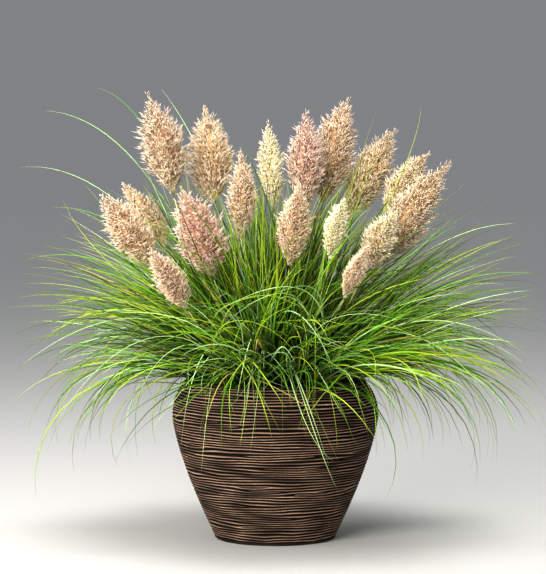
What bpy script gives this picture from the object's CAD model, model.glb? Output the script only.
"""The look of a dwarf pampas grass in a ribbed planter, in metres, +Z up.

The camera stands where the photograph was taken from, so it looks along +Y.
Each piece is a surface worked out with numpy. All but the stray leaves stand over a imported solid.
"""

import math

import bmesh
import bpy
import numpy as np
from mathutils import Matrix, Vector


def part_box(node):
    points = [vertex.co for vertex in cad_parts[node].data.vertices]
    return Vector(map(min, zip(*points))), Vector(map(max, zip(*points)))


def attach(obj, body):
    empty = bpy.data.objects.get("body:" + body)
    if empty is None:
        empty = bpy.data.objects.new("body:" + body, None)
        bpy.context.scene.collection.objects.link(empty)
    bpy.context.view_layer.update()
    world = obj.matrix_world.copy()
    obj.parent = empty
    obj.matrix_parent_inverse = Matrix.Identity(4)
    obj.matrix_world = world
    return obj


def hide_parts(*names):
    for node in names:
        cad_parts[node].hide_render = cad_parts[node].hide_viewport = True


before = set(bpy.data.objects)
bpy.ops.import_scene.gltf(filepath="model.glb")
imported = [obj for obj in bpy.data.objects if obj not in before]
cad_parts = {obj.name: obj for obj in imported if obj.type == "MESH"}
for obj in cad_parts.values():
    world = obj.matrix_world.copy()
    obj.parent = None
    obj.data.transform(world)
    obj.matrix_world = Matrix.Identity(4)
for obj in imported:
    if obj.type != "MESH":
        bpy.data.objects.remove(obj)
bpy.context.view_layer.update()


# Planter: one pot moulded in a dark brown fibre and resin mix. Its outside is combed into wavy
# ribs that wander, fork and run out, and the rim rolls inwards over a smooth inner wall.

RIB_PITCH = 0.0070
RIB_DEPTH = 0.0046
RIB_WAVES = (2, 3, 5, 7, 11, 15)
WAVE_SIZE = 0.34
RIB_FORKS = 120
FORK_STRETCH = 9.0
WORN_SHARE = 0.45
RIM_ROLL = 0.0065
FOOT_ROLL = 0.009
FOOT_RADIUS = 0.138
RIM_RADIUS = 0.206
MOUTH_RADIUS = 0.196
SHOULDER_HEIGHT = 0.285
INSIDE_FLOOR = 0.014
WALL = 0.011
BODY_FULLNESS = 1.38
NECK_FULLNESS = 2.4
ROUND_COLUMNS = 150
OUTSIDE_ROWS = 470
RIM_ROWS = 12

GROOVE_BROWN = (0.0012, 0.0009, 0.0007, 1)
BODY_BROWN = (0.112, 0.066, 0.043, 1)
CREST_TAN = (0.78, 0.525, 0.37, 1)
INSIDE_BROWN = (0.055, 0.038, 0.031, 1)

rim_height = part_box("planter")[1].z
shoulder_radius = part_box("planter")[1].x


def planter_radius(height):
    """The body swells from foot to shoulder as one minus a power, and the neck curls in as a power."""
    left = np.clip(1 - height / SHOULDER_HEIGHT, 0, 1)
    past = np.clip((height - SHOULDER_HEIGHT) / (rim_height - SHOULDER_HEIGHT), 0, 1)
    body = FOOT_RADIUS + (shoulder_radius - FOOT_RADIUS) * (1 - left**BODY_FULLNESS)
    return body - (shoulder_radius - RIM_RADIUS) * past**NECK_FULLNESS


def arc(centre, radius, start, end, count):
    """Points on part of a circle in the profile's plane, by the angles of its two ends in degrees."""
    angle = np.radians(np.linspace(start, end, count))
    return np.stack([centre[0] + radius * np.cos(angle), centre[1] + radius * np.sin(angle)], -1)


def planter_profile():
    """(radius, height) from the middle of the base, up the outside, over the rim and down the inside.

    The second array is each point's share of the ribs, which fade in over the foot and out over the rim.
    """
    heights = np.linspace(FOOT_ROLL, rim_height - RIM_ROLL, OUTSIDE_ROWS)
    outside = np.stack([planter_radius(heights), heights], -1)
    foot = arc((outside[0, 0] - FOOT_ROLL, FOOT_ROLL), FOOT_ROLL, -90, -10, 6)
    rim_middle = (outside[-1, 0] - RIM_ROLL, rim_height - RIM_ROLL)
    rim = arc(rim_middle, RIM_ROLL, 8, 172, RIM_ROWS)
    low = np.linspace(rim_height - 0.03, 2 * INSIDE_FLOOR, 8)
    inside = np.stack([planter_radius(low) - WALL, low], -1)
    floor = np.array([(inside[-1, 0] - INSIDE_FLOOR, INSIDE_FLOOR), (0.0, INSIDE_FLOOR)])
    base = np.array([(0.0, 0.0), (foot[0, 0] * 0.98, 0.0)])
    points = np.concatenate([base, foot, outside, rim, inside, floor])
    fade_in = np.concatenate([np.zeros(len(base) + 2), np.linspace(0.2, 1, len(foot) - 2)])
    fade_out = np.concatenate([np.linspace(1, 0, RIM_ROWS) ** 0.5, np.zeros(len(inside) + len(floor))])
    return points, np.concatenate([fade_in, np.ones(OUTSIDE_ROWS), fade_out])


def rib_phase(turn, along, draw):
    """Counts ribs up the wall: distance over the pitch, plus slow waves, plus pairs of forks.

    A fork is the angle round a point of the wall, as it turns once, and the one of opposite
    sign ends the rib that it starts. The sine makes each of them meet itself round the pot.
    """
    phase = along / RIB_PITCH
    for waves in RIB_WAVES:
        size = draw.uniform(0.5, 1.0) * WAVE_SIZE / waves**0.7
        rise = draw.uniform(-160, 160)
        phase = phase + size * np.sin(waves * turn + rise * along + draw.uniform(0, math.tau))
    place = turn + 1j * FORK_STRETCH * along / shoulder_radius
    for _ in range(RIB_FORKS):
        height = draw.uniform(0.01, along.max() - 0.01)
        start = draw.uniform(0, math.tau)
        length = draw.uniform(0.12, 0.75)
        for sign, where in ((1, start), (-1, start + length)):
            level = height + draw.uniform(-0.003, 0.003)
            fork = where + 1j * FORK_STRETCH * level / shoulder_radius
            phase = phase + sign * np.angle(np.sin((place - fork) / 2)) / math.tau
    return phase


def unit(vectors):
    """The vectors at length one, and a zero vector as it is."""
    return vectors / np.maximum(np.linalg.norm(vectors, axis=-1, keepdims=True), 1e-9)


def planter_surface():
    """Turns the profile round, then draws it in by the rib's section, a round crest and a sharp groove.

    The ribs are shallower and duller where they are worn, in patches made by a product of sines.
    """
    draw = np.random.default_rng(5)
    profile, ribbed = planter_profile()
    step = np.gradient(profile, axis=0)
    normal = unit(np.stack([step[:, 1], -step[:, 0]], -1))
    along = np.concatenate([[0], np.cumsum(np.linalg.norm(np.diff(profile, axis=0), axis=1))])
    turn = np.linspace(0, math.tau, ROUND_COLUMNS, endpoint=False)[None, :]
    phase = rib_phase(turn, along[:, None] - along[ribbed > 0][0], draw)
    crest = np.abs(np.sin(math.pi * phase))
    rise = along[:, None]
    worn = np.sin(5 * turn + 3 * np.sin(60 * rise)) * np.sin(70 * rise + 2 * np.sin(3 * turn)) / 2 + 0.5
    depth = RIB_DEPTH * (1 - WORN_SHARE * worn**3)
    sunk = -depth * (1 - crest) * ribbed[:, None]
    radius = profile[:, None, 0] + normal[:, None, 0] * sunk
    height = profile[:, None, 1] + normal[:, None, 1] * sunk
    points = np.stack([radius * np.cos(turn), radius * np.sin(turn), height + 0 * turn], -1)
    shown = crest * ribbed[:, None] * (1 - 0.12 * worn**2)
    return points, shown, np.broadcast_to(ribbed[:, None], crest.shape)


def grid_cells(batch, rows, columns):
    """Each cell's corners, its shares across and along, and its grid, in a batch that wraps round."""
    grid, i, j = np.meshgrid(np.arange(batch), np.arange(rows - 1), np.arange(columns), indexing="ij")
    row = i[..., None] + np.array([0, 0, 1, 1])
    column = j[..., None] + np.array([0, 1, 1, 0])
    corners = (grid[..., None] * rows + row) * columns + column % columns
    shares = np.stack([column / columns, row / (rows - 1)], -1)
    return corners.reshape(-1, 4), shares.reshape(-1, 4, 2), grid.reshape(-1)


def add_attribute(mesh, key, value):
    """Gives each point of the mesh a number or a colour, by how many columns the value has."""
    if value.shape[1] == 1:
        layer = mesh.attributes.new(key, "FLOAT", "POINT")
        layer.data.foreach_set("value", value.astype(np.float32).ravel())
    else:
        colour = np.concatenate([value, np.ones((len(value), 1))], 1)
        layer = mesh.color_attributes.new(key, "FLOAT_COLOR", "POINT")
        layer.data.foreach_set("color", colour.astype(np.float32).ravel())


def as_piece(name, grids, values, material, wide):
    """Makes one object of a list of (batch, rows, columns, 3) point arrays that each wrap round.

    Every grid has its own cell of the UV square, which is that many cells wide. values gives each
    point its attributes, by name. Points that coincide at poles and tips are merged into one.
    """
    points, corners, shares, cells, first, cell = [], [], [], [], 0, 0
    for grid in grids:
        batch, rows, columns = grid.shape[:3]
        faces, share, owner = grid_cells(batch, rows, columns)
        corners.append(faces + first)
        shares.append(share)
        cells.append(owner + cell)
        points.append(grid.reshape(-1, 3))
        first += batch * rows * columns
        cell += batch
    points, corners, shares, cells = map(np.concatenate, (points, corners, shares, cells))
    a, b, c, d = (points[corners[:, k]] for k in range(4))
    volume = (np.cross(b - a, c - a) * a).sum() + (np.cross(c - a, d - a) * a).sum()
    if volume < 0:
        corners, shares = corners[:, ::-1], shares[:, ::-1]
    mesh = bpy.data.meshes.new(name)
    mesh.vertices.add(len(points))
    mesh.vertices.foreach_set("co", points.astype(np.float32).ravel())
    mesh.loops.add(corners.size)
    mesh.loops.foreach_set("vertex_index", corners.astype(np.int32).ravel())
    mesh.polygons.add(len(corners))
    mesh.polygons.foreach_set("loop_start", np.arange(0, corners.size, 4, dtype=np.int32))
    mesh.polygons.foreach_set("use_smooth", np.ones(len(corners), bool))
    mesh.update(calc_edges=True)
    tall = math.ceil(cell / wide)
    spot = np.stack([cells % wide, cells // wide], -1)[:, None, :]
    uv = (spot + 0.04 + 0.92 * shares) / np.array([wide, tall])
    mesh.uv_layers.new(name="UVMap").uv.foreach_set("vector", uv.astype(np.float32).ravel())
    for key, value in values.items():
        per_point = [part.reshape(grid.size // 3, -1) for part, grid in zip(value, grids)]
        add_attribute(mesh, key, np.concatenate(per_point))
    edit = bmesh.new()
    edit.from_mesh(mesh)
    bmesh.ops.remove_doubles(edit, verts=edit.verts, dist=1e-7)
    edit.to_mesh(mesh)
    edit.free()
    mesh.materials.append(material)
    piece = bpy.data.objects.new(name, mesh)
    bpy.context.scene.collection.objects.link(piece)
    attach(piece, "root")
    return piece


class Value:
    """A shader socket in an expression: a sum, difference or product of it adds its Math node."""

    def __init__(self, finish, socket):
        self.finish, self.socket = finish, socket

    def maths(self, operation, first, second):
        return self.finish.node("ShaderNodeMath", {"operation": operation}, {0: first, 1: second})

    def __add__(self, other):
        return self.maths("ADD", self, other)

    def __rsub__(self, other):
        return self.maths("SUBTRACT", other, self)

    def __mul__(self, other):
        return self.maths("MULTIPLY", self, other)

    __radd__, __rmul__ = __add__, __mul__


class Finish:
    """A material of one Principled shader. Every other node comes from node()."""

    def __init__(self, name, **constants):
        self.material = bpy.data.materials.new(name)
        self.material.use_nodes = True
        self.tree = self.material.node_tree
        self.shader = self.tree.nodes["Principled BSDF"]
        self.set({key.replace("_", " "): value for key, value in constants.items()})

    def fill(self, node, sockets):
        for key, value in sockets.items():
            if isinstance(value, Value):
                self.tree.links.new(value.socket, node.inputs[key])
            else:
                node.inputs[key].default_value = value

    def set(self, sockets):
        self.fill(self.shader, sockets)

    def node(self, kind, settings, sockets, output=0):
        made = self.tree.nodes.new(kind)
        for key, value in settings.items():
            setattr(made, key, value)
        self.fill(made, sockets)
        return Value(self, made.outputs[output])

    def attribute(self, name, output="Fac"):
        return self.node("ShaderNodeAttribute", {"attribute_name": name}, {}, output)

    def noise(self, stretch, detail, uv=False):
        """Noise on the object's place or its UV map, with its own scale along each axis."""
        at = self.node("ShaderNodeTexCoord", {}, {}, "UV" if uv else "Object")
        at = self.node("ShaderNodeVectorMath", {"operation": "MULTIPLY"}, {0: at, 1: stretch})
        return self.node("ShaderNodeTexNoise", {}, {"Vector": at, "Scale": 1.0, "Detail": detail})

    def spread(self, value, low, high):
        """Stretches a value so that low becomes 0 and high becomes 1, and stops there."""
        return self.node("ShaderNodeMapRange", {}, {"Value": value, "From Min": low, "From Max": high})

    def mix(self, first, second, share):
        return self.node("ShaderNodeMix", {"data_type": "RGBA"}, {0: share, 6: first, 7: second}, 2)

    def brighten(self, colour, by):
        """Multiplies a colour by a value."""
        return self.node("ShaderNodeVectorMath", {"operation": "SCALE"}, {0: colour, "Scale": by})

    def bump(self, height, distance):
        """Shades the surface as if it stood out by the height, in units of the distance."""
        sockets = {"Height": height, "Distance": distance, "Strength": 1.0}
        self.set({"Normal": self.node("ShaderNodeBump", {}, sockets)})


def planter_finish():
    """Brown ribs between black grooves, with tan fibres on the crests in lighter and darker patches."""
    finish = Finish("combed_brown_fibre", Specular_IOR_Level=0.12)
    crest, ribbed = finish.attribute("crest"), finish.attribute("ribbed")
    fibres = finish.spread(finish.noise((55, 55, 520), 5), 0.3, 0.72)
    patches = finish.spread(finish.noise((13, 13, 34), 3), 0.3, 0.7)
    wall = finish.mix(GROOVE_BROWN, BODY_BROWN, finish.spread(crest, 0.66, 0.92))
    lit = finish.spread(crest, 0.86, 0.995) * (0.3 + 0.7 * fibres) * (0.45 + 0.55 * patches)
    wall = finish.mix(wall, CREST_TAN, lit)
    finish.set({"Base Color": finish.mix(INSIDE_BROWN, wall, ribbed)})
    finish.set({"Roughness": 0.78 - 0.22 * crest * patches})
    finish.bump(fibres + 0.4 * finish.noise((300, 300, 900), 2), 0.0007)
    return finish.material


shell, crest, ribbed = planter_surface()
planter_values = {"crest": [crest[None]], "ribbed": [ribbed[None]]}
planter = as_piece("planter_shell", [shell[None]], planter_values, planter_finish(), wide=1)
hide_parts("planter")


# Soil: bark-based potting mix, tipped in round the roots and watered down. Its top is crumbly,
# and loose chips of bark lie on it.

CRUMB_WAVES = ((95, 0.3), (140, 1.7), (210, 2.9), (330, 0.9), (470, 2.2), (640, 1.3))
CRUMB_STEEPNESS = 0.26
TOP_GAP, SIDE_GAP = 0.0015, 0.0012
SOIL_COLUMNS = 120
CHIPS = 420
CHIP_SIZE = 0.0052
CHIPS_REACH = 0.182
SOIL_DARK = (0.012, 0.008, 0.006, 1)
SOIL_BROWN = (0.060, 0.038, 0.024, 1)
BARK_TAN = (0.16, 0.10, 0.065, 1)

soil_low, soil_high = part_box("soil")
soil_top = soil_high.z


def soil_surface():
    """A round top, lowered by sums of sines into crumbs, over straight sides and a flat bottom."""
    turn = np.linspace(0, math.tau, SOIL_COLUMNS, endpoint=False)[None, :]
    share = np.linspace(0, 1, 46)[:, None]
    edge = planter_radius(soil_top) - WALL - TOP_GAP
    x, y = share * edge * np.cos(turn), share * edge * np.sin(turn)
    crumbs = sum(
        np.sin(scale * (x * math.cos(way) + y * math.sin(way)) + 9 * way) / scale
        for scale, way in CRUMB_WAVES
    )
    top = soil_top + CRUMB_STEEPNESS * (crumbs - crumbs.max()) * (1 - share**14)
    levels = np.array([soil_top - 0.03, 0.25, 0.15, 2 * INSIDE_FLOOR])[:, None]
    side = planter_radius(levels) - WALL - SIDE_GAP
    bottom = np.array([[side[-1, 0] - INSIDE_FLOOR], [0.0]])
    radius = np.concatenate([share * edge, side, bottom])
    height = np.concatenate([top, levels + 0 * turn, np.full((len(bottom), SOIL_COLUMNS), soil_low.z)])
    return np.stack([radius * np.cos(turn), radius * np.sin(turn), height], -1)


def chips(draw):
    """Closed lumps of six corners round, squashed and turned at random, on the soil's top."""
    turn = np.linspace(0, math.tau, 6, endpoint=False)
    level = np.array([-1.0, -0.5, 0.5, 1.0])
    girth = np.array([0.0, 1.0, 0.8, 0.0])
    lump = np.stack([
        girth[:, None] * np.cos(turn), girth[:, None] * np.sin(turn), level[:, None] + 0 * turn
    ], -1)
    size = CHIP_SIZE * draw.uniform(0.35, 1.0, (CHIPS, 1)) * draw.uniform(0.4, 1.5, (CHIPS, 3))
    size[:, 2] *= 0.45
    shape = lump * size[:, None, None, :] * draw.uniform(0.8, 1.2, (CHIPS, *lump.shape[:2], 1))
    spin = draw.uniform(0, math.tau, CHIPS)[:, None, None]
    tilt = draw.uniform(-0.5, 0.5, CHIPS)[:, None, None]
    x, y, z = np.moveaxis(shape, -1, 0)
    x, z = x * np.cos(tilt) - z * np.sin(tilt), x * np.sin(tilt) + z * np.cos(tilt)
    x, y = x * np.cos(spin) - y * np.sin(spin), x * np.sin(spin) + y * np.cos(spin)
    radius = (CHIPS_REACH * np.sqrt(draw.uniform(0.02, 1, CHIPS)))[:, None, None]
    way = draw.uniform(0, math.tau, CHIPS)[:, None, None]
    return np.stack([x + radius * np.cos(way), y + radius * np.sin(way), z + soil_top - 0.001], -1)


def soil_finish():
    """Nearly black mix with brown crumbs, and chips that turn to tan by their own share of bark."""
    finish = Finish("potting_mix", Specular_IOR_Level=0.25)
    grit = finish.spread(finish.noise((420, 420, 420), 4), 0.35, 0.7)
    lumps = finish.spread(finish.noise((90, 90, 90), 3), 0.4, 0.65)
    colour = finish.mix(SOIL_DARK, SOIL_BROWN, 0.3 * grit + 0.7 * lumps)
    bark = finish.attribute("bark") * (0.35 + 0.65 * grit)
    finish.set({"Base Color": finish.mix(colour, BARK_TAN, bark)})
    finish.set({"Roughness": 0.95 - 0.2 * lumps})
    finish.bump(grit, 0.0012)
    return finish.material


draw = np.random.default_rng(21)
soil_grid, chip_grids = soil_surface()[None], chips(draw)
bark_share = np.broadcast_to(draw.uniform(0.2, 1, (CHIPS, 1, 1)), chip_grids.shape[:3])
soil_values = {"bark": [np.zeros(soil_grid.shape[:3]), bark_share]}
soil = as_piece("potting_mix", [soil_grid, chip_grids], soil_values, soil_finish(), wide=21)
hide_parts("soil")


# Flowering stems: seventeen smooth canes from the crown, each jointed a few times, green below and
# straw-coloured towards the plume. They bend outwards, so that each meets its plume in line.

PLUME_COUNT = 17
STEM_RADIUS = 0.0028
STEM_TOP_SHARE = 0.62
STEM_ROWS = 36
STEM_SIDES = 8
BEND_SHARE = 0.55
FOOT_DEPTH = 0.002
JOINTS = 3
JOINT_SWELL = 0.0009
JOINT_SHARE = 0.018
STEM_GREEN = np.array([0.22, 0.34, 0.055])
STEM_STRAW = np.array([0.62, 0.58, 0.21])


def corners_of(node):
    """The places of a solid's vertices, as one array."""
    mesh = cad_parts[node].data
    flat = np.empty(len(mesh.vertices) * 3)
    mesh.vertices.foreach_get("co", flat)
    return flat.reshape(-1, 3)


def plume_ends(node):
    """A plume solid's points nearest to and farthest from the crown, its neck and tip, and its radius."""
    points = corners_of(node)
    away = np.linalg.norm(points - [0, 0, soil_top], axis=1)
    neck = points[away < away.min() + 0.0015].mean(0)
    tip = points[away.argmax()]
    spread = np.linalg.norm(np.cross(points - neck, unit(tip - neck)), axis=1)
    return neck, tip, spread.max()


def stem_line(node, neck, tip, rows):
    """A quadratic curve from the foot, drawn towards a point on the plume's axis below its neck."""
    points = corners_of(node)
    foot = points[points[:, 2] < points[:, 2].min() + 0.004].mean(0)
    foot[2] = soil_top - FOOT_DEPTH
    middle = neck - unit(tip - neck) * np.linalg.norm(neck - foot) * BEND_SHARE
    t = np.linspace(0, 1, rows)[:, None]
    return foot * (1 - t) ** 2 + middle * 2 * t * (1 - t) + neck * t * t


def tube(line, radius, sides):
    """Rings round each line of a batch, square to it, with one radius for each of its points."""
    along = unit(np.gradient(line, axis=-2))
    guide = np.array([0.31, -0.95, 0.05])
    first = unit(np.cross(along, guide))
    second = np.cross(along, first)
    turn = np.linspace(0, math.tau, sides, endpoint=False)
    ring = first[..., None, :] * np.cos(turn)[:, None] + second[..., None, :] * np.sin(turn)[:, None]
    return line[..., None, :] + ring * radius[..., None, None]


def stem_finish():
    """Each stem's own green to straw, in streaks that run up the cane."""
    finish = Finish("smooth_cane", Specular_IOR_Level=0.4)
    streaks = finish.noise((700, 700, 25), 3)
    tint = finish.attribute("tint", "Color")
    finish.set({"Base Color": finish.brighten(tint, 0.75 + 0.5 * streaks)})
    finish.set({"Roughness": 0.4 + 0.25 * streaks})
    finish.bump(streaks, 0.0003)
    return finish.material


draw = np.random.default_rng(31)
cane = stem_finish()
plume_shapes = []
for number in range(1, PLUME_COUNT + 1):
    neck, tip, greatest = plume_ends(f"plume_{number:02d}")
    plume_shapes.append((neck, tip, greatest))
    line = stem_line(f"stem_{number:02d}", neck, tip, STEM_ROWS)
    share = np.linspace(0, 1, STEM_ROWS)
    radius = STEM_RADIUS * (1 + (STEM_TOP_SHARE - 1) * share)
    for joint in draw.uniform(0.15, 0.85, JOINTS):
        radius = radius + JOINT_SWELL * np.exp(-(((share - joint) / JOINT_SHARE) ** 2))
    radius[[0, -1]] = 0
    straw = np.clip((share - draw.uniform(0.45, 0.75)) / 0.3, 0, 1)[:, None]
    colour = STEM_GREEN * (1 - straw) + STEM_STRAW * straw
    grid = tube(line[None], radius[None], STEM_SIDES)
    tint = np.broadcast_to(colour[None, :, None, :], grid.shape)
    stem = as_piece(f"cane_{number:02d}", [grid], {"tint": [tint]}, cane, wide=1)
    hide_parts(f"stem_{number:02d}")


# Plumes: feathery panicles of silk-haired spikelets, each bent a little outwards. Branches leave the
# axis all the way up and lean out as they rise, and their ends and a few side plumes stand clear as
# fingers. Spikelets leave a branch sideways and curl up, tan at the root and nearly white at the tip.

BRANCHES, SPIKELETS = 160, 24
LOBES = 3
LOBE_BRANCHES, LOBE_SPIKELETS = 20, 16
GOLDEN_ANGLE = math.radians(137.5)
BRANCH_RISE = 0.24
BRANCH_CURVE = 0.72
FLUFF = 1.14
CORE_SHARE = 0.38
CORE_START, CORE_END, CORE_TAPER_END = 0.02, 0.78, 0.80
SPIKELET_LENGTH = 0.0190
SPIKELET_RADIUS = 0.00105
SPIKELET_ANGLES = (45, 98)
BRANCH_RADIUS = 0.0007
AXIS_RADIUS = 0.0019
AXIS_ROWS = 12
USUAL_GREATEST = 0.045
TOP_START = 0.68
BOW = 0.14

ROSE = np.array([0.91, 0.59, 0.49])
PEACH = np.array([0.86, 0.62, 0.43])
BEIGE = np.array([0.85, 0.65, 0.41])
GOLD = np.array([0.83, 0.67, 0.34])
CREAM = np.array([0.95, 0.88, 0.56])
INNER_SHADE = np.array([0.70, 0.58, 0.41])
FROST = np.array([0.98, 0.93, 0.85])

# The tint of each plume's foot and of its tip, and how full it is, in the order of the nodes
PLUME_LOOKS = (
    (0.86 * BEIGE, 0.88 * PEACH, 1.16), (1.1 * BEIGE, 1.1 * BEIGE, 1.15), (BEIGE, PEACH, 1.10),
    (GOLD, PEACH, 1.08), (PEACH, PEACH, 1.05), (0.5 * (PEACH + ROSE), ROSE, 1.13), (BEIGE, PEACH, 0.96),
    (CREAM, CREAM, 0.92), (0.45 * (BEIGE + ROSE), 0.94 * ROSE, 0.98), (BEIGE, PEACH, 1.24),
    (GOLD, BEIGE, 1.15), (GOLD, BEIGE, 1.08), (0.93 * BEIGE, 0.93 * BEIGE, 1.10), (BEIGE, CREAM, 0.98),
    (BEIGE, PEACH, 0.97), (1.1 * BEIGE, 1.1 * PEACH, 0.95), (1.1 * CREAM, 1.1 * CREAM, 0.84),
)


def swell(share):
    """The outline of a plume: a power of the sine of a half turn, widest a little below the middle."""
    return np.abs(np.sin(math.pi * np.clip(share, 0, 1) ** 0.88)) ** 1.2


def evenly_over_outline(count, draw):
    """Shares of the length where branches end, as dense as the outline is wide, but sparse at the top."""
    share = np.linspace(0.05, 0.985, 200)
    area = np.cumsum(swell(share) * np.clip((1.2 - share) / 0.5, 0, 1) + 0.05)
    wanted = (np.arange(count) + draw.uniform(0, 1, count)) / count
    return np.interp(wanted * area[-1], area, share)


def plume_frame(neck, tip):
    """The length of a plume, its axis, and two directions square to the axis and to each other."""
    length = np.linalg.norm(tip - neck)
    axis = (tip - neck) / length
    side = unit(np.cross(axis, [0.2, 1.0, 0.1]))
    return length, axis, side, np.cross(axis, side)


def plume_core(neck, tip, greatest):
    """The silk too dense to tell apart: a share of the outline, tapered upwards, roughened by sines."""
    length, axis, side, back = plume_frame(neck, tip)
    up = np.linspace(CORE_START, CORE_END, 30)[:, None]
    turn = np.linspace(0, math.tau, 20, endpoint=False)[None, :]
    lumps = 0.16 * np.sin(5 * turn + 40 * up) * np.sin(61 * up + 2 * turn)
    rough = 1 + lumps + 0.10 * np.sin(9 * turn - 83 * up)
    taper = np.minimum(1, (CORE_TAPER_END - up) / 0.3)
    girth = (CORE_SHARE * greatest * swell(up) * taper * rough)[..., None]
    girth[[0, -1]] = 0
    around = np.cos(turn)[..., None] * side + np.sin(turn)[..., None] * back
    pale = 0.5 * np.clip(1 - 4 * up.reshape(1, -1), 0, 1)
    return (neck + axis * (up * length)[..., None] + around * girth)[None], pale


def plume_axis(neck, tip):
    """The stem's thin end inside the plume, up to just short of its tip."""
    length, axis, _, _ = plume_frame(neck, tip)
    share = np.linspace(0, 1, AXIS_ROWS)
    radius = AXIS_RADIUS * (1 - 0.8 * share)
    radius[[0, -1]] = 0
    line = neck + axis * (share * length * 0.95)[:, None]
    return tube(line[None], radius[None], 5), np.zeros((1, AXIS_ROWS))


def plume_branches(neck, tip, greatest, count, draw):
    """A function for the places at shares t, of shape (count, n), along the branches, and their leans.

    A branch rises from the axis and leans out to the outline with a power of its length, the
    golden angle round from the last one.
    """
    length, axis, side, back = plume_frame(neck, tip)
    high = evenly_over_outline(count, draw)
    low = high - np.minimum(BRANCH_RISE, 0.9 * high) * draw.uniform(0.7, 1.1, count)
    turn = np.arange(count) * GOLDEN_ANGLE + draw.uniform(-0.4, 0.4, count)
    inset = 0.65 * SPIKELET_LENGTH * np.clip((1 - high) / 0.3, 0, 1)
    reach = np.maximum(FLUFF * greatest * swell(high) - inset, 0.12 * greatest)
    reach = reach * draw.uniform(0.60, 1.12, count)
    lean = np.cos(turn)[:, None] * side + np.sin(turn)[:, None] * back

    def place(t):
        up = (low[:, None] + (high - low)[:, None] * t) * length
        out = reach[:, None] * t**BRANCH_CURVE
        return neck + axis * up[..., None] + lean[:, None, :] * out[..., None]

    return place, lean


def plume_spikelets(neck, tip, greatest, place, lean, each, draw):
    """Spikelets that leave their branch outwards at an open angle and bend round towards its tip.

    The top's are shorter and lie closer to their branches, which so stand apart like fingers.
    """
    length, axis, _, _ = plume_frame(neck, tip)
    t = np.sort(draw.uniform(0.10, 1.0, (len(lean), each)) ** 0.6, axis=1)
    root = place(t).reshape(-1, 3)
    onwards = unit(place(t + 0.02) - place(t - 0.02)).reshape(-1, 3)
    one_each = (len(root), 1)
    outward = np.repeat(lean, each, axis=0)
    sideways = np.cross(axis, outward)
    up = (root - neck) @ axis / length
    close = np.clip((up - TOP_START) / 0.3, 0, 1)[:, None]
    spin = draw.normal(0, 1.05, one_each) * (1 + close)
    away = outward * np.cos(spin) + sideways * np.sin(spin)
    opening = np.radians(draw.uniform(*SPIKELET_ANGLES, one_each)) * (1 - 0.62 * close)
    first_way = away * np.sin(opening) + onwards * np.cos(opening)
    last_way = unit(away * draw.uniform(0.1, 1.4, one_each) * (1 - 0.72 * close) + onwards)
    size = SPIKELET_LENGTH * (0.62 + 0.85 * draw.uniform(0, 1, one_each) ** 2.5)
    size = size * (0.3 + 0.7 * greatest / USUAL_GREATEST) * (1 - 0.55 * close)
    size = size * np.where(close > 0, 1, np.clip(1.8 * swell(up), 0.3, 1)[:, None])
    u = np.array([0.0, 0.55, 1.0])[None, :, None]
    curve = first_way[:, None] * u + (last_way - first_way)[:, None] * 0.5 * u * u
    thick = SPIKELET_RADIUS * draw.uniform(0.7, 1.3, one_each) * (1 - 0.25 * close)
    grid = tube(root[:, None] + size[:, None] * curve, thick * np.array([0.0, 1.0, 0.0]), 3)
    pale = 0.3 + 0.7 * t.ravel() + 0.4 * np.clip(1 - 4 * up, 0, 1)
    return grid, np.clip(pale[:, None] * np.array([0.05, 0.95, 1.1]), 0, 1.05)


def plume_grids(neck, tip, greatest, branches, spikelets, draw):
    """Core, axis, branches and spikelets as batches of grids, each with how pale its rows are."""
    place, lean = plume_branches(neck, tip, greatest, branches, draw)
    t = np.broadcast_to(np.linspace(0, 1, 4), (branches, 4))
    radius = BRANCH_RADIUS * (1 - 0.6 * t)
    radius[:, [0, -1]] = 0
    return [
        plume_core(neck, tip, greatest),
        plume_axis(neck, tip),
        (tube(place(t), radius, 3), 0.1 + 0.5 * t),
        plume_spikelets(neck, tip, greatest, place, lean, spikelets, draw),
    ]


def lobes(neck, tip, greatest, draw):
    """Side plumes that leave the axis below the middle and end a little outside the outline."""
    length, axis, side, back = plume_frame(neck, tip)
    found = []
    for turn in draw.uniform(0, math.tau) + np.arange(LOBES) * math.tau / LOBES:
        low = draw.uniform(0.25, 0.5)
        high = min(low + draw.uniform(0.28, 0.4), 0.85)
        out = side * math.cos(turn) + back * math.sin(turn)
        reach = greatest * (0.16 + swell(high)) * draw.uniform(0.9, 1.15)
        start, end = neck + axis * length * low, neck + axis * length * high + out * reach
        found.append((start, end, greatest * draw.uniform(0.3, 0.42)))
    return found


def bowed(grid, neck, tip):
    """Bends a plume outwards: its middle moves in by the share up it times one less that share."""
    length, axis, _, _ = plume_frame(neck, tip)
    out = unit(tip * [1, 1, 0])
    out = out - axis * (out @ axis)
    up = np.clip((grid - neck) @ axis / length, 0, 1)[..., None]
    return grid - out * (BOW * length * up * (1 - up))


def plume_tint(grid, pale, neck, tip, tints, draw):
    """Tan at the axis to the plume's own tint, which changes from foot to top, and paler at the ends."""
    length, axis, _, _ = plume_frame(neck, tip)
    up = np.clip(((grid - neck) @ axis) / length, 0, 1)[..., None]
    own = tints[0] * (1 - up) + tints[1] * up
    own = own * draw.uniform(0.80, 1.12, (len(grid), 1, 1, 1))
    pale = pale[:, :, None, None]
    frost = np.clip(0.50 * pale**6, 0, 1)
    own = own * (1 - frost) + FROST * frost
    return np.clip(own * (INNER_SHADE * (1 - pale) + pale), 0, 0.97)


def plume_finish():
    """Each point's own tint, a little lighter and darker in places, with the faint sheen of silk."""
    finish = Finish("silky_spikelets", Roughness=0.6, Specular_IOR_Level=0.3, Sheen_Weight=0.2)
    tint = finish.attribute("tint", "Color")
    finish.set({"Base Color": finish.brighten(tint, 0.8 + 0.36 * finish.noise((260, 260, 260), 3))})
    return finish.material


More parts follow.
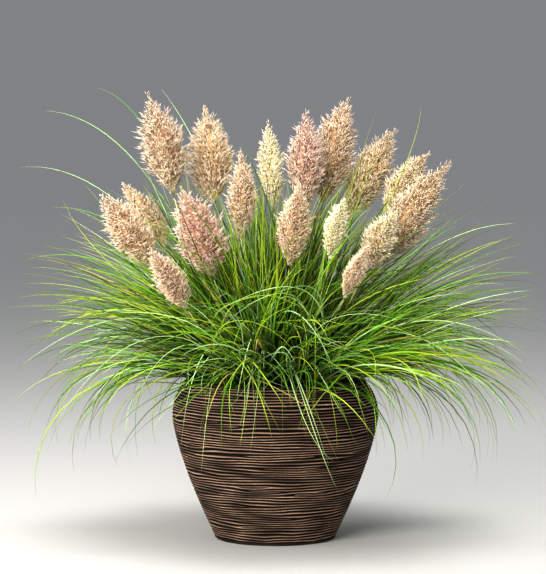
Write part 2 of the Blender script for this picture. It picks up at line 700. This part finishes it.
silk = plume_finish()
for number, (neck, tip, greatest) in enumerate(plume_shapes, 1):
    draw = np.random.default_rng(100 + number)
    *tints, fullness = PLUME_LOOKS[number - 1]
    parts = plume_grids(neck, tip, greatest * fullness, BRANCHES, SPIKELETS, draw)
    for lobe in lobes(neck, tip, greatest * fullness, draw):
        parts += plume_grids(*lobe, LOBE_BRANCHES, LOBE_SPIKELETS, draw)
    tint = [plume_tint(grid, pale, neck, tip, tints, draw) for grid, pale in parts]
    grids = [bowed(grid, neck, tip) for grid, _ in parts]
    plume = as_piece(f"panicle_{number:02d}", grids, {"tint": tint}, silk, wide=48)
    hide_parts(f"plume_{number:02d}")


# Leaves: long grass blades, a few millimetres wide and folded along the midrib. They grow in tufts
# from the crown, the inner ones upright and the outer ones arching over the rim and drooping.

LEAVES_PER_TUFT, MORE_IN_CENTRE = 78, 45
LEAF_ROWS = 12
LEAF_WIDTH = 0.0056
LEAF_THICKNESS = 0.0006
LEAF_FOLD = 0.75
CLEARANCE = 0.003
CROWN_RADIUS = 0.135
TUFT_SPREAD = 0.024
FARTHEST = 0.63
WAVER = 0.10

# A leaf's elevation at its foot and at its tip, and its length, at the crown's centre and edge
START_CENTRE, START_EDGE = math.radians(86), math.radians(36)
END_CENTRE, END_EDGE = math.radians(66), math.radians(-62)
LENGTH_CENTRE, LENGTH_EDGE = 0.60, 0.64

# Leaves on the camera's side end higher and are shorter
FRONT_LIFT, FRONT_SHORTER = math.radians(42), 0.10

# Some leaves curl, some are stiff, and only some may pass a plume on the camera's side
CURLED_SHARE, CURL = 0.13, math.radians(70)
STIFF_SHARE, STIFF_FALL = 0.28, math.radians(26)
CROSSING_SHARE = 0.2

DARK, MID, FRESH, LIME, GREY_GREEN, DRIED = range(6)
LEAF_COLOURS = np.array([
    (0.005, 0.024, 0.0015),
    (0.026, 0.112, 0.011),
    (0.120, 0.330, 0.015),
    (0.390, 0.540, 0.040),
    (0.400, 0.600, 0.280),
    (0.460, 0.340, 0.110),
])
CENTRE_SHARES = np.array([0.36, 0.20, 0.17, 0.15, 0.09, 0.03])
EDGE_SHARES = np.array([0.07, 0.23, 0.27, 0.26, 0.14, 0.03])
YELLOW_TIP = np.array([0.36, 0.47, 0.020])
DRY_TIP = np.array([0.45, 0.33, 0.13])

# Leaves that stray from the tufts: colour, width, the foot's x and y, two points that draw the leaf,
# and its tip. The first lot hangs over the front, and the other stands clear above and at the sides.
STRAY_FOOT_HEIGHT = 0.34
FRONT_STRAYS = (
    (LIME, 0.0036, (-0.09, -0.08), (-0.20, -0.36, 0.60), (0.00, -0.44, 0.64), (0.10, -0.42, 0.52)),
    (GREY_GREEN, 0.0036, (0.09, -0.05), (0.17, -0.36, 0.68), (-0.02, -0.44, 0.62), (-0.14, -0.40, 0.54)),
    (LIME, 0.0040, (0.00, -0.12), (0.00, -0.27, 0.58), (0.07, -0.36, 0.58), (0.07, -0.33, 0.31)),
    (GREY_GREEN, 0.0050, (-0.02, -0.08), (-0.03, -0.26, 0.64), (0.08, -0.36, 0.56), (0.13, -0.36, 0.41)),
    (GREY_GREEN, 0.0044, (0.03, -0.10), (0.05, -0.16, 0.46), (0.12, -0.25, 0.43), (0.22, -0.28, 0.38)),
    (GREY_GREEN, 0.0040, (-0.08, -0.08), (-0.10, -0.13, 0.48), (-0.02, -0.24, 0.46), (0.035, -0.28, 0.36)),
    (GREY_GREEN, 0.0052, (0.01, -0.10), (0.00, -0.16, 0.62), (0.06, -0.33, 0.30), (0.14, -0.25, 0.14)),
    (LIME, 0.0042, (-0.07, -0.10), (-0.11, -0.16, 0.54), (-0.03, -0.30, 0.38), (-0.005, -0.27, 0.25)),
    (GREY_GREEN, 0.0040, (-0.02, -0.11), (-0.02, -0.17, 0.58), (-0.05, -0.29, 0.42), (-0.08, -0.27, 0.28)),
    (GREY_GREEN, 0.0046, (-0.03, -0.09), (-0.025, -0.16, 0.60), (-0.025, -0.30, 0.46), (-0.025, -0.27, 0.30)),
    (FRESH, 0.0040, (0.00, -0.10), (0.00, -0.16, 0.58), (0.02, -0.30, 0.42), (0.015, -0.265, 0.255)),
    (GREY_GREEN, 0.0044, (-0.09, -0.07), (-0.12, -0.16, 0.58), (-0.20, -0.25, 0.42), (-0.21, -0.235, 0.23)),
    (FRESH, 0.0044, (-0.05, -0.10), (-0.08, -0.17, 0.43), (-0.16, -0.25, 0.40), (-0.225, -0.21, 0.32)),
    (LIME, 0.0040, (0.07, -0.09), (0.10, -0.16, 0.54), (0.18, -0.24, 0.40), (0.21, -0.22, 0.25)),
    (LIME, 0.0036, (0.09, -0.06), (0.14, -0.13, 0.52), (0.21, -0.20, 0.40), (0.235, -0.17, 0.29)),
    (FRESH, 0.0038, (0.03, -0.10), (0.06, -0.18, 0.50), (0.13, -0.28, 0.36), (0.17, -0.245, 0.27)),
)
OUTER_STRAYS = (
    (GREY_GREEN, 0.0060, (-0.03, 0.03), (-0.20, 0.05, 0.70), (-0.33, 0.09, 0.99), (-0.555, 0.10, 0.995)),
    (FRESH, 0.0044, (-0.02, 0.05), (-0.14, 0.08, 0.68), (-0.30, 0.12, 1.04), (-0.43, 0.12, 1.05)),
    (GREY_GREEN, 0.0038, (-0.01, 0.09), (-0.05, 0.22, 0.62), (-0.17, 0.30, 0.92), (-0.28, 0.31, 1.055)),
    (GREY_GREEN, 0.0044, (-0.04, 0.00), (-0.20, 0.00, 0.62), (-0.38, 0.00, 0.89), (-0.60, 0.00, 0.86)),
    (FRESH, 0.0044, (-0.05, 0.02), (-0.20, 0.02, 0.62), (-0.38, 0.03, 0.79), (-0.53, 0.03, 0.765)),
    (LIME, 0.0036, (-0.06, -0.04), (-0.22, -0.10, 0.52), (-0.44, -0.13, 0.66), (-0.48, -0.13, 0.79)),
    (FRESH, 0.0044, (-0.07, -0.02), (-0.22, -0.03, 0.60), (-0.42, -0.04, 0.70), (-0.585, -0.04, 0.645)),
    (LIME, 0.0044, (0.03, 0.06), (0.13, 0.09, 0.60), (0.18, 0.12, 0.84), (0.24, 0.12, 0.995)),
    (LIME, 0.0040, (0.04, 0.05), (0.16, 0.09, 0.60), (0.34, 0.12, 0.86), (0.345, 0.12, 1.01)),
    (FRESH, 0.0040, (0.06, 0.00), (0.20, 0.00, 0.58), (0.37, 0.00, 0.72), (0.515, 0.00, 0.79)),
    (GREY_GREEN, 0.0040, (0.06, 0.01), (0.18, 0.00, 0.56), (0.38, 0.00, 0.74), (0.57, 0.00, 0.73)),
    (LIME, 0.0040, (0.05, 0.02), (0.17, 0.04, 0.58), (0.33, 0.05, 0.72), (0.45, 0.05, 0.83)),
    (GREY_GREEN, 0.0042, (-0.08, -0.05), (-0.22, -0.16, 0.60), (-0.42, -0.20, 0.54), (-0.59, -0.14, 0.40)),
    (GREY_GREEN, 0.0038, (-0.08, -0.06), (-0.18, -0.20, 0.56), (-0.36, -0.30, 0.52), (-0.50, -0.27, 0.27)),
    (LIME, 0.0034, (-0.07, -0.05), (-0.18, -0.18, 0.50), (-0.38, -0.24, 0.62), (-0.57, -0.20, 0.60)),
    (GREY_GREEN, 0.0040, (-0.07, -0.08), (-0.14, -0.22, 0.52), (-0.26, -0.33, 0.50), (-0.31, -0.33, 0.33)),
    (GREY_GREEN, 0.0042, (0.08, -0.06), (0.20, -0.20, 0.58), (0.38, -0.28, 0.52), (0.53, -0.24, 0.27)),
    (GREY_GREEN, 0.0038, (0.09, -0.05), (0.22, -0.18, 0.56), (0.42, -0.22, 0.56), (0.59, -0.15, 0.42)),
    (LIME, 0.0034, (0.07, -0.06), (0.17, -0.19, 0.48), (0.34, -0.27, 0.58), (0.52, -0.24, 0.66)),
)


def leaf_lines(foot, heading, bend, start, end, length, rows):
    """Sums short steps whose elevation falls from start to end, and whose heading turns by bend.

    A sine that dies out up the leaf, of a phase from the place of its foot, makes it waver.
    """
    share = (np.arange(rows - 1) + 0.5) / (rows - 1)
    elevation = start[:, None] + (end - start)[:, None] * share**1.3
    way = heading[:, None] + bend[:, None] * share**1.6
    way = way + WAVER * np.sin(9 * share + 2000 * foot[:, :1]) * (1 - share)
    level = np.cos(elevation)
    step = np.stack([np.cos(way) * level, np.sin(way) * level, np.sin(elevation)], -1)
    step = step * (length[:, None] / (rows - 1))[..., None]
    return np.concatenate([foot[:, None], foot[:, None] + np.cumsum(step, 1)], 1)


def rest_on_planter(line):
    """Lifts what would sink into the shoulder onto it, and pushes out what would sink into the wall."""
    radius = np.linalg.norm(line[..., :2], axis=-1)
    height = line[..., 2]
    inwards = np.clip((shoulder_radius - radius) / (shoulder_radius - RIM_RADIUS), 0, 1)
    top = SHOULDER_HEIGHT + (rim_height - SHOULDER_HEIGHT) * inwards ** (1 / NECK_FULLNESS)
    over = (radius > MOUTH_RADIUS - 0.004) & (radius < shoulder_radius) & (height > SHOULDER_HEIGHT)
    lifted = np.where(over, np.maximum(height, top + CLEARANCE), height)
    beside = (radius > MOUTH_RADIUS) & (lifted < SHOULDER_HEIGHT)
    wall = planter_radius(lifted) + CLEARANCE
    pushed = np.where(beside, np.maximum(radius, wall), radius) / np.maximum(radius, 1e-9)
    return np.concatenate([line[..., :2] * pushed[..., None], lifted[..., None]], -1)


def blades(line, width, twist):
    """Four points round each place of each leaf: edge, keel, edge and midrib, folded into a V.

    The leaf turns about its own line, by its twist in all, and narrows to its tip by a power.
    """
    share = np.linspace(0, 1, line.shape[1])
    along = unit(np.gradient(line, axis=1))
    level = unit(np.stack([-along[..., 1], along[..., 0], 0 * along[..., 0]], -1) + [1e-6, 0, 0])
    upper = np.cross(along, level)
    angle = (twist[:, None] * share)[..., None]
    side = level * np.cos(angle) + upper * np.sin(angle)
    face = upper * np.cos(angle) - level * np.sin(angle)
    taper = np.minimum(1, 0.55 + 3 * share) * (1 - share**1.8) ** 0.9
    half = (width[:, None] * taper / 2)[..., None]
    thick = LEAF_THICKNESS / 2 * np.minimum(1, 4 * (1 - share))[None, :, None]
    edge = face * half * LEAF_FOLD
    ring = np.stack([side * half + edge, -face * thick, -side * half + edge, face * thick], 2)
    ring[:, [0, -1]] = 0
    return line[:, :, None] + ring


def leaf_tint(colours, rows, shaded, draw):
    """Each leaf's own green, dark up to a share of it and yellower to the tip, where some have dried."""
    share = np.linspace(0, 1, rows)[None, :, None]
    dark = 0.04 + 0.96 * np.clip(share / shaded, 0, 1) ** 1.8
    yellowed = 0.28 * share**2
    colour = (colours[:, None] * (1 - yellowed) + YELLOW_TIP * yellowed) * dark
    dry = np.clip((share - draw.uniform(0.8, 1.25, (len(colours), 1, 1))) / 0.15, 0, 1)
    return np.clip(colour * (1 - dry) + DRY_TIP * dry, 0, 0.9)


def leaf_finish():
    """Each point's own green, in fine veins along the leaf and in lighter and darker patches."""
    finish = Finish("grass_blade", Specular_IOR_Level=0.20)
    veins = finish.noise((2600, 5, 1), 2, uv=True)
    patches = finish.noise((38, 38, 38), 2)
    tint = finish.attribute("tint", "Color")
    finish.set({"Base Color": finish.brighten(tint, 0.8 + 0.1 * veins + 0.3 * patches)})
    finish.set({"Roughness": 0.42 + 0.2 * veins})
    return finish.material


def clear_of_plumes(line):
    """The share of each leaf that ends before it passes a plume on the side of the camera."""
    last = line.shape[1] - 1
    free = np.ones(len(line))
    flat = line[..., [0, 2]]
    for neck, tip, greatest in plume_shapes:
        low, rise = neck[[0, 2]], (tip - neck)[[0, 2]]
        up = np.clip((flat - low) @ rise / (rise @ rise), 0, 1)
        off = np.linalg.norm(flat - low - up[..., None] * rise, axis=-1)
        before = line[..., 1] < neck[1] + up * (tip - neck)[1] + greatest
        met = (off < greatest * swell(up)) & before & (up > 0.2)
        first = np.where(met.any(1), met.argmax(1), last)
        free = np.minimum(free, first / last)
    return np.maximum(free, 0.3)


def tuft_place(node):
    """The foot of a tuft's solid, and its rank: 0 at the crown's centre and 1 at its edge."""
    points = corners_of(node)
    near = np.hypot(points[:, 0], points[:, 1]) < CROWN_RADIUS + TUFT_SPREAD
    foot = points[near & (points[:, 2] < soil_top + 0.003)].mean(0)
    return foot, min(1.0, math.hypot(foot[0], foot[1]) / CROWN_RADIUS)


def tuft_leaves(node, draw):
    """The centre lines of a tuft's leaves, which fan out round the way that it leans, and their ranks.

    A leaf's own rank is near its tuft's. At 0 it stands upright, and at 1 it leans out and droops.
    """
    foot, rank = tuft_place(node)
    count = LEAVES_PER_TUFT + int(MORE_IN_CENTRE * (1 - rank))
    around = draw.uniform(0, math.tau, count)
    off = TUFT_SPREAD * np.sqrt(draw.uniform(0, 1, count))
    feet = np.stack([
        foot[0] + off * np.cos(around),
        foot[1] + off * np.sin(around),
        np.full(count, soil_top - FOOT_DEPTH),
    ], -1)
    own = np.clip(rank + draw.normal(0, 0.17, count), 0, 1.1)
    heading = math.atan2(foot[1], foot[0]) + draw.normal(0, 0.34, count) * (1.9 - 1.1 * rank)
    front = np.clip(-np.sin(heading), 0, 1) * own
    start = START_CENTRE + (START_EDGE - START_CENTRE) * own + draw.normal(0, 0.09, count)
    end = END_CENTRE + (END_EDGE - END_CENTRE) * own**1.2 + draw.normal(0.1, 0.50, count)
    end = end + FRONT_LIFT * front
    length = LENGTH_CENTRE + (LENGTH_EDGE - LENGTH_CENTRE) * own
    length = length * draw.uniform(0.7 - 0.15 * rank, 1.04, count) * (1 - FRONT_SHORTER * front)
    bend = draw.normal(0, 0.52, count)
    curled = draw.uniform(0, 1, count) < CURLED_SHARE
    stiff = draw.uniform(0, 1, count) < STIFF_SHARE
    end = np.where(stiff, start - STIFF_FALL * (1 + own), end)
    end = end - curled * CURL * np.clip(1.2 - own, 0, 1)
    length, bend = length * (1 - 0.15 * curled), bend * (1 + 1.5 * curled)
    line = leaf_lines(feet, heading, bend, start, end, length, LEAF_ROWS)
    reach = np.linalg.norm(line[..., :2], axis=-1).max(1)
    length = length * np.minimum(1, FARTHEST / reach)
    line = leaf_lines(feet, heading, bend, start, end, length, 4 * LEAF_ROWS)
    free = np.where(draw.uniform(0, 1, count) < CROSSING_SHARE, 1, clear_of_plumes(line))
    end, bend = start + (end - start) * free**1.3, bend * free**1.6
    line = leaf_lines(feet, heading, bend, start, end, length * free, LEAF_ROWS)
    return rest_on_planter(line), np.clip(own, 0, 1)[:, None]


def stray_leaves(draw):
    """Centre lines, colour numbers and widths of the stray leaves, which are cubic Bezier curves.

    Each of the leaves over the front comes again twice, narrower, with its points moved at random.
    """
    front, traced = len(FRONT_STRAYS), FRONT_STRAYS + OUTER_STRAYS
    kind = np.array([leaf[0] for leaf in traced])
    width = np.array([leaf[1] for leaf in traced])
    corners = np.array([((*foot, STRAY_FOOT_HEIGHT), *points) for _, _, foot, *points in traced])
    again = np.repeat(corners[:front], 2, axis=0)
    again = again + draw.normal(0, 1, again.shape) * np.array([0.015, 0.03, 0.035, 0.045])[:, None]
    a, b, c, d = np.moveaxis(np.concatenate([corners, again]), 1, 0)[:, :, None]
    t = np.linspace(0, 1, 2 * LEAF_ROWS)[None, :, None]
    line = a * (1 - t) ** 3 + 3 * b * t * (1 - t) ** 2 + 3 * c * t * t * (1 - t) + d * t**3
    kind = np.concatenate([kind, np.repeat(kind[:front], 2)])
    width = np.concatenate([width * 1.1, np.repeat(width[:front], 2) * 0.85])
    return rest_on_planter(line), kind, width


grass = leaf_finish()
tufts = sorted(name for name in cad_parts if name.startswith("leaf_tuft"))
for number, node in enumerate(tufts, 1):
    draw = np.random.default_rng(300 + number)
    line, rank = tuft_leaves(node, draw)
    count = len(line)
    width = LEAF_WIDTH * draw.uniform(0.6, 1.25, count)
    grid = blades(line, width, draw.normal(0, 1.3, count))
    shares = np.cumsum(CENTRE_SHARES * (1 - rank) + EDGE_SHARES * rank, 1)
    kind = (draw.uniform(0, 1, (count, 1)) > shares[:, :-1]).sum(1)
    brightest = np.where(kind == LIME, 0.2, 0.5)[:, None]
    lightness = np.exp(np.clip(draw.normal(0, 0.55, (count, 1)), -1.6 + 1.2 * rank, brightest))
    tint = leaf_tint(LEAF_COLOURS[kind] * lightness, LEAF_ROWS, 0.78 - 0.25 * rank[..., None], draw)
    tint = np.broadcast_to(tint[:, :, None, :], grid.shape)
    leaves = as_piece(f"grass_{number:02d}", [grid], {"tint": [tint]}, grass, wide=count)
    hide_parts(node)

draw = np.random.default_rng(77)
line, kind, width = stray_leaves(draw)
grid = blades(line, width, draw.normal(0, 0.9, len(line)))
lightness = draw.uniform(1.0, 1.4, (len(line), 1)) * np.where(kind == GREY_GREEN, 1.15, 1)[:, None]
tint = leaf_tint(LEAF_COLOURS[kind] * lightness, 2 * LEAF_ROWS, 0.25, draw)
tint = np.broadcast_to(tint[:, :, None, :], grid.shape)
strays = as_piece("grass_strays", [grid], {"tint": [tint]}, grass, wide=len(line))


# Room: a plain pale floor that the planter stands on, a pale sky, a soft light overhead, a broad one
# from the upper left and a faint one from the left, and the camera where the photograph was taken from.

FLOOR_HALF = 40
FLOOR_PALE = (0.50, 0.495, 0.485, 1)
SKY_LOW = (0.46, 0.47, 0.49, 1)
SKY_HIGH = (0.93, 0.96, 1.0, 1)
SKY_FADE = (0.12, 0.20)
SKY_STRENGTH = 0.50
CAMERA_PLACE = (-0.00533, -5.5, 0.85)
CAMERA_PITCH = math.radians(2.774)
CAMERA_LENS, CAMERA_SENSOR = 148.9, 36


def floor(half):
    """One flat square round the planter's foot."""
    mesh = bpy.data.meshes.new("floor")
    corners = [(-half, -half, 0), (half, -half, 0), (half, half, 0), (-half, half, 0)]
    mesh.from_pydata(corners, [], [(0, 1, 2, 3)])
    made = bpy.data.objects.new("floor", mesh)
    finish = Finish("pale_floor", Base_Color=FLOOR_PALE, Roughness=0.9, Specular_IOR_Level=0.1)
    mesh.materials.append(finish.material)
    bpy.context.scene.collection.objects.link(made)


def area_light(name, place, target, size, power, colour):
    """A round area light at a place, aimed at a target."""
    data = bpy.data.lights.new(name, "AREA")
    data.shape, data.size, data.energy, data.color = "DISK", size, power, colour
    made = bpy.data.objects.new(name, data)
    made.location = place
    aim = made.location - Vector(target)
    made.rotation_mode = "QUATERNION"
    made.rotation_quaternion = aim.to_track_quat("Z", "Y")
    bpy.context.scene.collection.objects.link(made)


def sky():
    """A pale sky that is a plain mid grey near the horizon, where the camera sees it."""
    world = bpy.data.worlds.new("pale_sky")
    world.use_nodes = True
    tree = world.node_tree
    place = tree.nodes.new("ShaderNodeTexCoord")
    height = tree.nodes.new("ShaderNodeSeparateXYZ")
    fade = tree.nodes.new("ShaderNodeMapRange")
    mixed = tree.nodes.new("ShaderNodeMix")
    mixed.data_type = "RGBA"
    fade.inputs["From Min"].default_value, fade.inputs["From Max"].default_value = SKY_FADE
    mixed.inputs[6].default_value = SKY_LOW
    mixed.inputs[7].default_value = SKY_HIGH
    background = tree.nodes["Background"]
    background.inputs["Strength"].default_value = SKY_STRENGTH
    tree.links.new(place.outputs["Generated"], height.inputs[0])
    tree.links.new(height.outputs["Z"], fade.inputs["Value"])
    tree.links.new(fade.outputs[0], mixed.inputs[0])
    tree.links.new(mixed.outputs[2], background.inputs["Color"])
    bpy.context.scene.world = world


floor(FLOOR_HALF)
sky()
area_light("overhead", (0.2, -0.4, 5.5), (0, 0, 0.6), size=2.4, power=235, colour=(1.0, 0.99, 0.96))
area_light("upper_left", (-1.9, -4.2, 2.1), (0, 0, 0.5), size=3.2, power=315, colour=(1.0, 0.97, 0.92))
area_light("left", (-3.4, -0.5, 1.3), (0, 0, 0.35), size=1.6, power=45, colour=(1.0, 0.97, 0.93))

camera_data = bpy.data.cameras.new("camera")
camera_data.lens = CAMERA_LENS
camera_data.sensor_width = CAMERA_SENSOR
camera = bpy.data.objects.new("camera", camera_data)
camera.location = CAMERA_PLACE
camera.rotation_euler = (math.pi / 2 - CAMERA_PITCH, 0, 0)
bpy.context.scene.collection.objects.link(camera)
bpy.context.scene.camera = camera
bpy.context.scene.view_settings.view_transform = "Standard"
bpy.context.scene.view_settings.gamma = 0.85
bpy.context.scene.view_settings.exposure = 0.25
